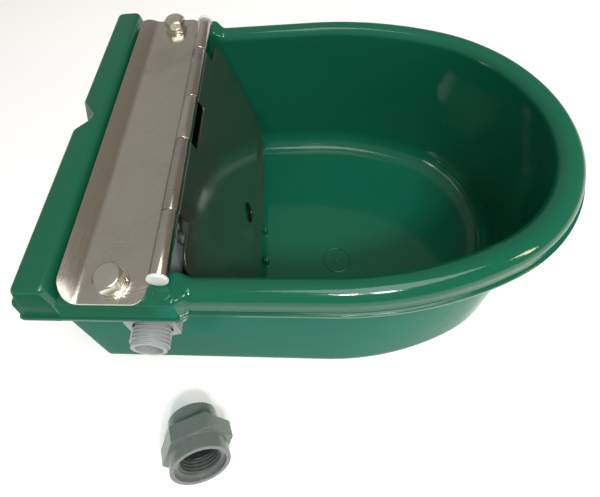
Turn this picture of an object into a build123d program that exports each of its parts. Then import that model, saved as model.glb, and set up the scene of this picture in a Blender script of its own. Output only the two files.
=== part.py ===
"""Livestock drinking bowl with a float valve, a hinged flap and a loose hose adapter.

The origin lies on the underside of the bowl, in its middle plane, where the straight sides
begin to curve. +X points to the round front of the bowl, +Z points up, and the water inlet
is on the -Y side. All sizes are in millimetres.
"""

import os
from math import atan2, cos, degrees, radians, sin, tan

from build123d import *

os.makedirs("parts", exist_ok=True)

# Bowl, overall
BACK_X = -150.0  # back of the lip
FRONT_X = 140.0  # front of the lip
RIM_HALF = 107.0  # half width over the lip of the rim
LEDGE_HALF = 110.0  # half width over the lip of the ledge
NOSE_RADIUS = 97.0  # round front, measured at the lip
LIP_Z = 110.0  # underside of the lip
LIP_HEIGHT = 2.2
LIP_STEP = 1.2
LEDGE_Z = 126.0
RAIL_Z = 137.6
SKIN = 3.0  # thickness of the ledge, the rail and the skirt

# Rolled rim and walls, as distances inwards from the lip
ROLL_OUTSIDE = 2.0
ROLL_RADIUS = 7.0
ROLL_Z = 116.5
WALL_OUTSIDE = 11.0
WALL_INSIDE = ROLL_OUTSIDE + 2 * ROLL_RADIUS
FLOOR_Z = 4.0
FLOOR_FILLET = 16.0
BASE_FILLET = 4.0
BACK_WALL_X = -148.0
BACK_WALL = 4.5

# Ledge and rail
LEDGE_FRONT_X = -65.0
RAIL_BACK_X = -141.6
RAIL_FRONT_X = -126.6
RAIL_HALF = 106.5
WINDOW_BACK_X = -122.0  # opening in the ledge, over the float chamber
NOTCH_WIDTH = 21.0
NOTCH_DEPTH = 6.0

# Sheet metal, hinge and flap
SHEET = 1.2
BARREL_RADIUS = 4.7
HINGE_X = -77.5
HINGE_Z = LEDGE_Z + BARREL_RADIUS
HINGE_HALF = 97.3
INNER_JOINT_Y = 16.9
OUTER_JOINT_Y = 63.7
PIN_RADIUS = BARREL_RADIUS - SHEET - 0.05
PIN_HEAD_RADIUS = 5.2
KNUCKLE_GAP = 0.35
COVER_HALF = 108.0
COVER_FRONT_X = -83.0
COVER_BEND_X = -115.1
STRIP_RUN = 9.2
STRIP_RISE = 6.5
FLAP_LEAN = 16.0
FLAP_HALF = 88.0
FLAP_CREASE = 99.0  # distance from the hinge axis, down the flap
FLAP_STRIP = 10.5
STRIP_LEAN = 30.0
FLAP_CORNER = 33.0
FLAP_WINDOW = 11.5  # depth of the cut-outs beside the fixed knuckles
WATER_HOLE_RADIUS = 7.2

# Cover bolts, M8
BOLT_X = -99.7
BOLT_Y = 98.1
BOLT_RADIUS = 4.0
BOLT_FLATS = 13.0
BOLT_HEAD = 5.3
WASHER = 1.6
SPRING_WASHER = 2.0
NUT_HEIGHT = 6.5
BOSS_BOTTOM_Z = 112.0
BOSS_RADIUS = 8.7

# Valve
VALVE_X = -90.0
VALVE_Z = 88.0
MOUTH_Y = -116.0
THREAD_END_Y = -105.5
OUTER_WALL_Y = -(RIM_HALF - WALL_OUTSIDE)
INNER_WALL_Y = -(RIM_HALF - WALL_INSIDE)
THREAD_RADIUS = 10.48  # G 1/2, crests
SHANK_RADIUS = 10.3
INLET_RADIUS = 7.2
GASKET = 2.0
FLANGE_RADIUS = 16.0
BARREL_OUT = 11.0
NOZZLE_TIP_Y = -70.0
BARREL_END_Y = -61.0
PIVOT_Y = -50.0
PIVOT_Z = 76.0
PIVOT_RADIUS = 1.5
PLUNGER_RADIUS = 5.75
SEAL_FRONT_Y = -65.5
ARM_DROP = 20.0  # the float hangs this far below level in an empty bowl
ROD_RADIUS = 2.5
FLOAT_NEAR = 50.0  # distances along the arm from its pivot
FLOAT_FAR = 108.0
FLOAT_RADIUS = 24.0

# Wall fixing holes and floor details
WALL_HOLE_Y = 75.0
WALL_HOLE_Z = 104.0
WALL_HOLE_RADIUS = 4.25
STOP_POSTS = [(-40.5, -3.5), (-39.0, -29.0)]
GATE_MARK = (13.0, -27.0)

# Adapter that lies beside the bowl, on the rim of its narrow end and an edge of its hexagon
ADAPTER_X = -71.0
ADAPTER_Y = -157.3
ADAPTER_Z = 22.61
ADAPTER_TURN = 22.4
ADAPTER_TILT = 19.3
ADAPTER_FLATS = 36.0
ADAPTER_LENGTH = 27.0
HOSE_RADIUS = 12.06  # G 3/4, root of the female thread
SEAL_SEAT_RADIUS = 12.6
HALF_INCH_RADIUS = 9.32  # G 1/2, root of the female thread

SIDES = {"near": -1, "far": 1}


def finish(builder, label):
    """Label the finished piece and write it to its own file."""
    builder.part.label = label
    export_step(builder.part, f"parts/{label}.step")


def bowl_outline(inset, back_x, corner=4.0):
    """D-shaped outline: straight sides, a large arc on each side and a round nose."""
    nose_x = FRONT_X - NOSE_RADIUS
    side_radius = (nose_x**2 + RIM_HALF**2 - NOSE_RADIUS**2) / (2 * (RIM_HALF - NOSE_RADIUS))
    centre_y = side_radius - RIM_HALF
    turn = degrees(atan2(nose_x, centre_y))
    half = RIM_HALF - inset
    with BuildSketch() as sketch:
        with BuildLine():
            Line((back_x, half), (back_x, -half))
            Line((back_x, -half), (0, -half))
            CenterArc((0, centre_y), side_radius - inset, -90, turn)
            CenterArc((nose_x, 0), NOSE_RADIUS - inset, turn - 90, 180 - 2 * turn)
            CenterArc((0, -centre_y), side_radius - inset, 90 - turn, turn)
            Line((0, half), (back_x, half))
        make_face()
        if corner:
            fillet(sketch.vertices().group_by(Axis.X)[0], corner)
    return sketch.sketch


def rim_path():
    """Line of the lip from the ledge, round the front of the bowl, and back to the ledge."""
    nose_x = FRONT_X - NOSE_RADIUS
    side_radius = (nose_x**2 + RIM_HALF**2 - NOSE_RADIUS**2) / (2 * (RIM_HALF - NOSE_RADIUS))
    centre_y = side_radius - RIM_HALF
    turn = degrees(atan2(nose_x, centre_y))
    start_x = LEDGE_FRONT_X - 8
    with BuildLine() as path:
        Line((start_x, -RIM_HALF), (0, -RIM_HALF))
        CenterArc((0, centre_y), side_radius, -90, turn)
        CenterArc((nose_x, 0), NOSE_RADIUS, turn - 90, 180 - 2 * turn)
        CenterArc((0, -centre_y), side_radius, 90 - turn, turn)
        Line((0, RIM_HALF), (start_x, RIM_HALF))
    return path.line


# ------------------------------------------------------------------ bowl
skirt_slope = (LEDGE_HALF - RAIL_HALF) / (RAIL_Z - LIP_Z)
back_slope = (RAIL_BACK_X - BACK_X) / (RAIL_Z - LIP_Z)
nut_pocket_top = BOSS_BOTTOM_Z + NUT_HEIGHT

with BuildPart() as bowl:
    # Body and the solid under the rim
    with BuildSketch():
        add(bowl_outline(WALL_OUTSIDE, BACK_WALL_X))
    extrude(amount=ROLL_Z)
    fillet(bowl.faces().sort_by(Axis.Z)[0].edges(), BASE_FILLET)

    # Ledge, with a skirt that leans inwards from the lip
    ledge_top_back = BACK_X + back_slope * (LEDGE_Z - LIP_Z)
    ledge_top_half = LEDGE_HALF - skirt_slope * (LEDGE_Z - LIP_Z)
    with BuildPart(mode=Mode.PRIVATE) as ledge:
        for height, back, half, front in (
            (LIP_Z, BACK_X, LEDGE_HALF, LEDGE_FRONT_X),
            (LEDGE_Z, ledge_top_back, ledge_top_half, LEDGE_FRONT_X - 2),
        ):
            with BuildSketch(Plane.XY.offset(height)) as face:
                with Locations(((back + front) / 2, 0)):
                    Rectangle(front - back, 2 * half)
                fillet(face.vertices().group_by(Axis.X)[-1], 9)
                fillet(face.vertices().group_by(Axis.X)[0], 3)
        loft()
        fillet(ledge.faces().sort_by(Axis.Z)[-1].edges(), 2.5)
    add(ledge)

    # Back rail
    with BuildPart(mode=Mode.PRIVATE) as rail:
        for height, back, half, front in (
            (LIP_Z, BACK_X, LEDGE_HALF, RAIL_FRONT_X + 4),
            (RAIL_Z, RAIL_BACK_X, RAIL_HALF, RAIL_FRONT_X),
        ):
            with BuildSketch(Plane.XY.offset(height)) as face:
                with Locations(((back + front) / 2, 0)):
                    Rectangle(front - back, 2 * half)
                fillet(face.vertices(), 2)
        loft()
        fillet(rail.faces().sort_by(Axis.Z)[-1].edges(), 1.6)
    add(rail)

    # Rolled rim
    section_plane = Plane(
        origin=(LEDGE_FRONT_X - 8, -RIM_HALF, 0), x_dir=(0, 1, 0), z_dir=(1, 0, 0)
    )
    with BuildSketch(section_plane) as rim_section:
        with BuildLine():
            skirt_foot = (LIP_STEP, LIP_Z + LIP_HEIGHT)
            roll_start = (ROLL_OUTSIDE, ROLL_Z)
            roll_end = (WALL_INSIDE, ROLL_Z)
            Line((0, LIP_Z), (0, LIP_Z + LIP_HEIGHT))
            Line((0, LIP_Z + LIP_HEIGHT), skirt_foot)
            Line(skirt_foot, roll_start)
            RadiusArc(roll_start, roll_end, ROLL_RADIUS)
            Line(roll_end, (WALL_INSIDE, LIP_Z))
            Line((WALL_INSIDE, LIP_Z), (0, LIP_Z))
        make_face()
    sweep(path=rim_path())

    # Lip round the ledge
    with BuildSketch(Plane.XY.offset(LIP_Z)) as ledge_lip:
        with Locations(((BACK_X + LEDGE_FRONT_X) / 2, 0)):
            Rectangle(LEDGE_FRONT_X - BACK_X, 2 * LEDGE_HALF)
        fillet(ledge_lip.vertices().group_by(Axis.X)[-1], 9)
        fillet(ledge_lip.vertices().group_by(Axis.X)[0], 3)
    extrude(amount=LIP_HEIGHT)

    # Channel under the rim, the ledge and the rail
    with BuildSketch(Plane.XY.offset(LIP_Z - 1)):
        add(bowl_outline(SKIN, LEDGE_FRONT_X - 8, corner=0))
        add(bowl_outline(WALL_OUTSIDE, LEDGE_FRONT_X - 20, corner=0), mode=Mode.SUBTRACT)
    extrude(amount=ROLL_Z + 2.5 - LIP_Z, mode=Mode.SUBTRACT)
    for side in SIDES.values():
        channel_width = ledge_top_half - SKIN + OUTER_WALL_Y
        channel_middle = (ledge_top_half - SKIN - OUTER_WALL_Y) / 2
        with BuildSketch(Plane.XY.offset(LIP_Z - 1)):
            with Locations(((BACK_WALL_X + LEDGE_FRONT_X) / 2, side * channel_middle)):
                Rectangle(LEDGE_FRONT_X - BACK_WALL_X - 2 * SKIN, channel_width)
        extrude(amount=LEDGE_Z - SKIN - LIP_Z + 1, mode=Mode.SUBTRACT)

    # Bosses that hold the captive nuts
    with BuildSketch(Plane.XY.offset(BOSS_BOTTOM_Z)):
        with Locations((BOLT_X, -BOLT_Y), (BOLT_X, BOLT_Y)):
            Circle(BOSS_RADIUS)
    extrude(amount=LEDGE_Z - SKIN - BOSS_BOTTOM_Z)

    # Inside of the bowl, with a rounded floor, and the window over the float chamber
    inside_back_x = BACK_WALL_X + BACK_WALL
    with BuildPart(mode=Mode.PRIVATE) as inside:
        with BuildSketch(Plane.XY.offset(FLOOR_Z)):
            add(bowl_outline(WALL_INSIDE, inside_back_x, corner=8))
        extrude(amount=LEDGE_Z - SKIN - FLOOR_Z)
        fillet(inside.faces().sort_by(Axis.Z)[0].edges(), 7.5)
        with BuildSketch(Plane.XY.offset(LEDGE_Z - SKIN - 1)):
            add(bowl_outline(WALL_INSIDE, WINDOW_BACK_X, corner=4))
        extrude(amount=40)
    add(inside, mode=Mode.SUBTRACT)

    # Hollow of the rail, open to the float chamber
    with BuildSketch(Plane.XY.offset(LEDGE_Z - SKIN - 1)):
        with Locations(((RAIL_BACK_X + RAIL_FRONT_X) / 2, 0)):
            Rectangle(RAIL_FRONT_X - RAIL_BACK_X - 2 * SKIN, -2 * INNER_WALL_Y)
    extrude(amount=RAIL_Z - LEDGE_Z + 1, mode=Mode.SUBTRACT)

    # Groove down the back of the rail, with a wall of its own inside the hollow
    with BuildSketch(Plane.XY.offset(LEDGE_Z - SKIN)):
        with Locations((RAIL_BACK_X + 5, 0)):
            Rectangle(10, NOTCH_WIDTH + 2 * SKIN)
    extrude(amount=RAIL_Z - LEDGE_Z + SKIN - 2)
    with BuildSketch(Plane.XY.offset(LEDGE_Z)) as groove:
        with BuildLine():
            Polyline(
                (BACK_X - 5, -NOTCH_WIDTH / 2 - 4),
                (RAIL_BACK_X, -NOTCH_WIDTH / 2),
                (RAIL_BACK_X + NOTCH_DEPTH, -4),
                (RAIL_BACK_X + NOTCH_DEPTH, 4),
                (RAIL_BACK_X, NOTCH_WIDTH / 2),
                (BACK_X - 5, NOTCH_WIDTH / 2 + 4),
                close=True,
            )
        make_face()
        fillet(groove.vertices().group_by(Axis.X)[-1], 3.5)
    extrude(amount=RAIL_Z - LEDGE_Z + 1, mode=Mode.SUBTRACT)

    # Slanted ribs on the side walls, which the flap leans on
    lean = tan(radians(FLAP_LEAN))
    for side in SIDES.values():
        with BuildSketch(Plane.XZ.offset(-side * (FLAP_HALF - 4))):
            with BuildLine():
                back_of_flap = HINGE_X + (BARREL_RADIUS - SHEET - 0.4) / cos(radians(FLAP_LEAN))
                low_x = back_of_flap + lean * (HINGE_Z - 45)
                high_x = back_of_flap + lean * (HINGE_Z - 105)
                Polyline(
                    (low_x, 45), (high_x, 105), (high_x - 6, 105), (low_x - 6, 45), close=True
                )
            make_face()
        extrude(amount=-side * 8)

    # Floor details: stop posts in front of the flap and the mark of the moulding gate
    with BuildSketch(Plane.XY.offset(FLOOR_Z)):
        with Locations(*STOP_POSTS):
            Circle(2.2)
    extrude(amount=7)
    with BuildSketch(Plane.XY.offset(FLOOR_Z)):
        with Locations(GATE_MARK):
            Circle(9.8)
            Circle(9.0, mode=Mode.SUBTRACT)
            Circle(1.2)
    extrude(amount=0.4)

    # Round pad on the ledge beside each hinge end
    with BuildSketch(Plane.XY.offset(LEDGE_Z - 1)):
        with Locations((-76, -103.2), (-76, 103.2)):
            Circle(4.0)
    extrude(amount=1.5)

    # Holes: cover bolts, nut pockets, valve and wall fixing
    with BuildSketch(Plane.XY.offset(BOSS_BOTTOM_Z - 5)):
        with Locations((BOLT_X, -BOLT_Y), (BOLT_X, BOLT_Y)):
            Circle(BOLT_RADIUS + 0.3)
    extrude(amount=30, mode=Mode.SUBTRACT)
    with BuildSketch(Plane.XY.offset(BOSS_BOTTOM_Z - 1)):
        with Locations((BOLT_X, -BOLT_Y), (BOLT_X, BOLT_Y)):
            RegularPolygon(BOLT_FLATS / 2 + 0.1, 6, major_radius=False)
    extrude(amount=NUT_HEIGHT + 1, mode=Mode.SUBTRACT)
    with BuildSketch(Plane.XZ.offset(-INNER_WALL_Y - 5)):
        with Locations((VALVE_X, VALVE_Z)):
            Circle(THREAD_RADIUS + 0.25)
    extrude(amount=20, mode=Mode.SUBTRACT)
    with BuildSketch(Plane.YZ.offset(BACK_WALL_X - 5)):
        with Locations((-WALL_HOLE_Y, WALL_HOLE_Z), (WALL_HOLE_Y, WALL_HOLE_Z)):
            Circle(WALL_HOLE_RADIUS)
    extrude(amount=BACK_WALL + 10, mode=Mode.SUBTRACT)
finish(bowl, "bowl_shell")

# ------------------------------------------------------------------ cover plate and hinge
fixed_knuckles = [
    (-HINGE_HALF, -OUTER_JOINT_Y),
    (-INNER_JOINT_Y, INNER_JOINT_Y),
    (OUTER_JOINT_Y, HINGE_HALF),
]
moving_knuckles = [(-OUTER_JOINT_Y, -INNER_JOINT_Y), (INNER_JOINT_Y, OUTER_JOINT_Y)]

with BuildPart() as cover:
    top = LEDGE_Z + SHEET
    with BuildSketch(Plane.XZ):
        with BuildLine():
            Polyline(
                (HINGE_X, LEDGE_Z),
                (HINGE_X, top),
                (COVER_BEND_X, top),
                (COVER_BEND_X - STRIP_RUN, top + STRIP_RISE),
                (COVER_BEND_X - STRIP_RUN - 0.7, top + STRIP_RISE - 1.0),
                (COVER_BEND_X - 0.4, LEDGE_Z),
                close=True,
            )
        make_face()
    extrude(amount=COVER_HALF, both=True)
    with BuildSketch(Plane.XY.offset(LEDGE_Z - 5)) as cover_outline:
        back = COVER_BEND_X - STRIP_RUN - 1
        with Locations(((back + HINGE_X) / 2, 0)):
            Rectangle(HINGE_X - back, 2 * COVER_HALF)
        for side in SIDES.values():
            end_middle = side * (HINGE_HALF + COVER_HALF + 5) / 2
            with Locations((COVER_FRONT_X + 10, end_middle)):
                Rectangle(20, COVER_HALF + 5 - HINGE_HALF, mode=Mode.SUBTRACT)
        for low, high in moving_knuckles:
            with Locations((COVER_FRONT_X + 10, (low + high) / 2)):
                Rectangle(20, high - low + 2 * KNUCKLE_GAP, mode=Mode.SUBTRACT)
        corners = cover_outline.vertices()
        fillet(corners.group_by(Axis.X)[0], 11)
        front_corners = [v for v in corners if abs(v.Y) > COVER_HALF - 1 and v.X > COVER_BEND_X]
        fillet(front_corners, 4)
    extrude(amount=30, mode=Mode.INTERSECT)
    for low, high in fixed_knuckles:
        with BuildSketch(Plane.XZ.offset(-low)):
            with Locations((HINGE_X, HINGE_Z)):
                Circle(BARREL_RADIUS)
        extrude(amount=low - high)
    with BuildSketch(Plane.XZ.offset(HINGE_HALF + 5)):
        with Locations((HINGE_X, HINGE_Z)):
            Circle(PIN_RADIUS)
    extrude(amount=-2 * HINGE_HALF - 10, mode=Mode.SUBTRACT)
    with BuildSketch(Plane.XY.offset(LEDGE_Z - 5)):
        with Locations((BOLT_X, -BOLT_Y), (BOLT_X, BOLT_Y)):
            Circle(BOLT_RADIUS + 0.3)
    extrude(amount=10, mode=Mode.SUBTRACT)
finish(cover, "cover_plate")

with BuildPart() as hinge_pin:
    with BuildSketch(Plane.XZ.offset(HINGE_HALF)):
        with Locations((HINGE_X, HINGE_Z)):
            Circle(PIN_RADIUS)
    extrude(amount=-2 * HINGE_HALF)
    for start, length in ((-HINGE_HALF, 1.6), (HINGE_HALF, -1.6)):
        with BuildSketch(Plane.XZ.offset(-start)):
            with Locations((HINGE_X, HINGE_Z + 0.5)):
                Circle(PIN_HEAD_RADIUS)
        extrude(amount=length)
finish(hinge_pin, "hinge_pin")

flap_plane = Plane(
    origin=(HINGE_X, 0, HINGE_Z),
    x_dir=(0, 1, 0),
    z_dir=(cos(radians(FLAP_LEAN)), 0, sin(radians(FLAP_LEAN))),
)
with BuildPart() as flap:
    # The sheet leaves the front of its knuckles, and its lower strip is bent forwards
    bend = radians(STRIP_LEAN - FLAP_LEAN)
    side_plane = Plane(origin=flap_plane.origin, x_dir=flap_plane.z_dir, z_dir=(0, -1, 0))
    with BuildSketch(side_plane):
        with BuildLine():
            strip_x = FLAP_STRIP * sin(bend)
            strip_y = FLAP_STRIP * cos(bend)
            inner = BARREL_RADIUS - SHEET
            Polyline(
                (BARREL_RADIUS, 0),
                (BARREL_RADIUS, -FLAP_CREASE),
                (BARREL_RADIUS + strip_x, -FLAP_CREASE - strip_y),
                (inner + strip_x, -FLAP_CREASE - strip_y - SHEET * sin(bend)),
                (inner, -FLAP_CREASE - 0.15),
                (inner, 0),
                close=True,
            )
        make_face()
    extrude(amount=FLAP_HALF, both=True)
    with BuildSketch(flap_plane) as flap_outline:
        bottom = FLAP_CREASE + FLAP_STRIP + 2
        with Locations((0, -bottom / 2)):
            Rectangle(2 * FLAP_HALF, bottom)
        fillet(flap_outline.vertices().group_by(Axis.Z)[0], FLAP_CORNER)
        with Locations((0, 0)):
            Rectangle(2 * INNER_JOINT_Y, 2 * FLAP_WINDOW, mode=Mode.SUBTRACT)
        for side in SIDES.values():
            with Locations((side * (OUTER_JOINT_Y + 20), 0)):
                Rectangle(40, 2 * FLAP_WINDOW, mode=Mode.SUBTRACT)
            with Locations((side * FLAP_HALF, -FLAP_WINDOW)):
                Rectangle(16, 16, rotation=45, mode=Mode.SUBTRACT)
        with Locations((-12, -88)):
            Circle(WATER_HOLE_RADIUS, mode=Mode.SUBTRACT)
    extrude(amount=30, both=True, mode=Mode.INTERSECT)
    for low, high in moving_knuckles:
        with BuildSketch(Plane.XZ.offset(-low - KNUCKLE_GAP)):
            with Locations((HINGE_X, HINGE_Z)):
                Circle(BARREL_RADIUS)
        extrude(amount=low - high + 2 * KNUCKLE_GAP)
        # Clear the joint gaps beside the sheet's tabs
        for edge in (low, high):
            with BuildSketch(flap_plane):
                with Locations((edge, -FLAP_WINDOW / 2 + 3)):
                    Rectangle(2 * KNUCKLE_GAP, FLAP_WINDOW + 6)
            extrude(amount=10, both=True, mode=Mode.SUBTRACT)
    with BuildSketch(Plane.XZ.offset(HINGE_HALF)):
        with Locations((HINGE_X, HINGE_Z)):
            Circle(PIN_RADIUS + 0.05)
    extrude(amount=-2 * HINGE_HALF, mode=Mode.SUBTRACT)
finish(flap, "flap")

# ------------------------------------------------------------------ cover fasteners
for name, side in SIDES.items():
    washer_z = LEDGE_Z + SHEET
    spring_z = washer_z + WASHER
    head_z = spring_z + SPRING_WASHER
    spot = (BOLT_X, side * BOLT_Y)

    with BuildPart() as bolt:
        with BuildSketch(Plane.XY.offset(head_z)):
            with Locations(spot):
                RegularPolygon(BOLT_FLATS / 2, 6, major_radius=False, rotation=15)
        extrude(amount=BOLT_HEAD)
        cone_radius = BOLT_FLATS / 2 - 0.3
        with BuildPart(Plane.XY.offset(head_z), mode=Mode.PRIVATE) as head_cone:
            with Locations(spot):
                Cone(cone_radius + BOLT_HEAD * 2.2, cone_radius, BOLT_HEAD,
                     align=(Align.CENTER, Align.CENTER, Align.MIN))
        add(head_cone, mode=Mode.INTERSECT)
        with BuildSketch(Plane.XY.offset(head_z)):
            with Locations(spot):
                Circle(BOLT_RADIUS - 0.05)
        extrude(amount=-(head_z - BOSS_BOTTOM_Z))
    finish(bolt, f"cover_bolt_{name}")

    with BuildPart() as spring_washer:
        with BuildSketch(Plane.XY.offset(spring_z)):
            with Locations(spot):
                Circle(7.2)
                Circle(BOLT_RADIUS + 0.1, mode=Mode.SUBTRACT)
            with Locations((spot[0] + 5.5, spot[1])):
                Rectangle(5, 0.8, rotation=25, mode=Mode.SUBTRACT)
        extrude(amount=SPRING_WASHER)
    finish(spring_washer, f"spring_washer_{name}")

    with BuildPart() as flat_washer:
        with BuildSketch(Plane.XY.offset(washer_z)):
            with Locations(spot):
                Circle(8.0)
                Circle(BOLT_RADIUS + 0.2, mode=Mode.SUBTRACT)
        extrude(amount=WASHER)
    finish(flat_washer, f"flat_washer_{name}")

    with BuildPart() as captive_nut:
        with BuildSketch(Plane.XY.offset(BOSS_BOTTOM_Z)):
            with Locations(spot):
                RegularPolygon(BOLT_FLATS / 2, 6, major_radius=False)
                Circle(BOLT_RADIUS, mode=Mode.SUBTRACT)
        extrude(amount=NUT_HEIGHT)
    finish(captive_nut, f"captive_nut_{name}")


# ------------------------------------------------------------------ valve
def disc_y(radius, start_y, end_y, mode=Mode.ADD, x=VALVE_X, z=VALVE_Z):
    """Cylinder along Y from start_y to end_y, added to the part being built."""
    with BuildSketch(Plane.XZ.offset(-start_y)) as disc:
        with Locations((x, z)):
            Circle(radius)
    extrude(disc.sketch, amount=start_y - end_y, mode=mode)


gasket_end_y = INNER_WALL_Y + GASKET
nozzle_start_y = NOZZLE_TIP_Y - 6
with BuildPart() as valve_body:
    disc_y(THREAD_RADIUS, MOUTH_Y, THREAD_END_Y)
    disc_y(SHANK_RADIUS, THREAD_END_Y, gasket_end_y)
    disc_y(FLANGE_RADIUS, gasket_end_y, gasket_end_y + 3)
    disc_y(BARREL_OUT, gasket_end_y + 3, BARREL_END_Y)
    for side in (-1, 1):
        with BuildSketch(Plane.YZ.offset(VALVE_X + side * 7)) as ear:
            with BuildLine():
                Polyline(
                    (BARREL_END_Y - 6, VALVE_Z - 4),
                    (BARREL_END_Y - 6, PIVOT_Z - 4.5),
                    (PIVOT_Y + 4.5, PIVOT_Z - 4.5),
                    (PIVOT_Y + 4.5, PIVOT_Z + 4.5),
                    (BARREL_END_Y, VALVE_Z - 4),
                    close=True,
                )
            make_face()
            fillet(ear.vertices().sort_by(Axis.Y)[-2:], 3.5)
        extrude(amount=side * 2.5)
    disc_y(INLET_RADIUS, MOUTH_Y, nozzle_start_y + 6, Mode.SUBTRACT)
    disc_y(PLUNGER_RADIUS + 0.25, nozzle_start_y, BARREL_END_Y, Mode.SUBTRACT)
    with BuildSketch(Plane.XZ.offset(-NOZZLE_TIP_Y - 0.5)):
        with Locations((VALVE_X, VALVE_Z - 8)):
            Rectangle(8, 16)
    extrude(amount=-5, mode=Mode.SUBTRACT)
    with BuildSketch(Plane.YZ.offset(VALVE_X - 20)):
        with Locations((PIVOT_Y, PIVOT_Z)):
            Circle(PIVOT_RADIUS)
    extrude(amount=40, mode=Mode.SUBTRACT)
    mouth = valve_body.edges().filter_by(GeomType.CIRCLE).group_by(Axis.Y)[0]
    chamfer(mouth.sort_by(SortBy.RADIUS)[-1], 0.8)
finish(valve_body, "valve_body")

with BuildPart() as strainer:
    disc_y(INLET_RADIUS, MOUTH_Y + 6, MOUTH_Y + 10)
    disc_y(INLET_RADIUS - 1.3, MOUTH_Y + 6, MOUTH_Y + 10, Mode.SUBTRACT)
    with BuildSketch(Plane.XZ.offset(-MOUTH_Y - 5)):
        with Locations((VALVE_X, VALVE_Z)):
            Rectangle(2 * INLET_RADIUS - 1, 1.3)
            Rectangle(1.3, 2 * INLET_RADIUS - 1)
    extrude(amount=-5)
finish(strainer, "inlet_strainer")

with BuildPart() as nozzle:
    disc_y(INLET_RADIUS, nozzle_start_y, NOZZLE_TIP_Y - 1)
    disc_y(2.6, NOZZLE_TIP_Y - 1, NOZZLE_TIP_Y)
    disc_y(1.5, nozzle_start_y - 1, NOZZLE_TIP_Y + 1, Mode.SUBTRACT)
finish(nozzle, "valve_nozzle")

with BuildPart() as gasket:
    disc_y(FLANGE_RADIUS, INNER_WALL_Y, gasket_end_y)
    disc_y(THREAD_RADIUS + 0.1, INNER_WALL_Y, gasket_end_y, Mode.SUBTRACT)
finish(gasket, "inlet_gasket")

with BuildPart() as lock_nut:
    disc_y(17.0, OUTER_WALL_Y - 2.5, OUTER_WALL_Y)
    with BuildSketch(Plane.XZ.offset(-OUTER_WALL_Y + 9.5)) as nut_hex:
        with Locations((VALVE_X, VALVE_Z)):
            RegularPolygon(13.5, 6, major_radius=False, rotation=30)
    extrude(amount=-7)
    disc_y(THREAD_RADIUS + 0.05, OUTER_WALL_Y - 15, OUTER_WALL_Y + 1, Mode.SUBTRACT)
finish(lock_nut, "lock_nut")

with BuildPart() as lever_pin:
    with BuildSketch(Plane.YZ.offset(VALVE_X - 10.5)):
        with Locations((PIVOT_Y, PIVOT_Z)):
            Circle(PIVOT_RADIUS)
    extrude(amount=21)
finish(lever_pin, "lever_pin")

with BuildPart() as plunger:
    disc_y(PLUNGER_RADIUS, SEAL_FRONT_Y + 1, -56)
    with BuildSketch(Plane.XZ.offset(56)):
        with Locations((VALVE_X, VALVE_Z)):
            Rectangle(6, 7)
    extrude(amount=-10)
    disc_y(4.5, SEAL_FRONT_Y, SEAL_FRONT_Y + 2, Mode.SUBTRACT)
    with BuildSketch(Plane.YZ.offset(VALVE_X - 10)):
        with Locations((PIVOT_Y, VALVE_Z)):
            Circle(PIVOT_RADIUS)
    extrude(amount=20, mode=Mode.SUBTRACT)
finish(plunger, "plunger")

with BuildPart() as seal:
    disc_y(4.5, SEAL_FRONT_Y, SEAL_FRONT_Y + 2)
finish(seal, "plunger_seal")

with BuildPart() as plunger_pin:
    with BuildSketch(Plane.YZ.offset(VALVE_X - 6)):
        with Locations((PIVOT_Y, VALVE_Z)):
            Circle(PIVOT_RADIUS)
    extrude(amount=12)
finish(plunger_pin, "plunger_pin")

# ------------------------------------------------------------------ lever, rod and float
arm = Vector(0, cos(radians(ARM_DROP)), -sin(radians(ARM_DROP)))
pivot = Vector(VALVE_X, PIVOT_Y, PIVOT_Z)


def arm_plane(distance):
    """Plane across the arm at a distance from the lever's pivot."""
    return Plane(origin=pivot + arm * distance, x_dir=(1, 0, 0), z_dir=arm)


def disc_on_arm(radius, start, end, mode=Mode.ADD):
    """Cylinder along the arm, added to the part being built."""
    with BuildSketch(arm_plane(start)) as disc:
        Circle(radius)
    extrude(disc.sketch, amount=end - start, mode=mode)


with BuildPart() as lever:
    with BuildSketch(Plane.YZ.offset(VALVE_X - 6.6)):
        with Locations((PIVOT_Y, PIVOT_Z)):
            Circle(4.2)
    extrude(amount=13.2)
    disc_on_arm(4.8, 2, 20)
    for side in (-1, 1):
        with BuildSketch(Plane.YZ.offset(VALVE_X + side * 3.5)):
            with Locations((PIVOT_Y, PIVOT_Z + 8.5)):
                Rectangle(6.8, 17)
            with Locations((PIVOT_Y, VALVE_Z)):
                SlotCenterToCenter(6, 3.7, rotation=90, mode=Mode.SUBTRACT)
        extrude(amount=side * 2.2)
    with BuildSketch(Plane.YZ.offset(VALVE_X - 10)):
        with Locations((PIVOT_Y, PIVOT_Z)):
            Circle(PIVOT_RADIUS + 0.06)
    extrude(amount=20, mode=Mode.SUBTRACT)
    disc_on_arm(ROD_RADIUS, 7, 25, Mode.SUBTRACT)
finish(lever, "float_lever")

with BuildPart() as rod:
    disc_on_arm(ROD_RADIUS, 7, FLOAT_FAR + 6)
finish(rod, "float_rod")

with BuildPart() as float_body:
    disc_on_arm(FLOAT_RADIUS, FLOAT_NEAR, FLOAT_FAR)
    fillet(float_body.edges().filter_by(GeomType.CIRCLE), 9)
    disc_on_arm(ROD_RADIUS, FLOAT_NEAR - 1, FLOAT_FAR + 1, Mode.SUBTRACT)
finish(float_body, "float")

with BuildPart() as float_nut:
    with BuildSketch(arm_plane(FLOAT_FAR)):
        RegularPolygon(4.0, 6, major_radius=False)
        Circle(ROD_RADIUS, mode=Mode.SUBTRACT)
    extrude(amount=4)
finish(float_nut, "float_nut")

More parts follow.
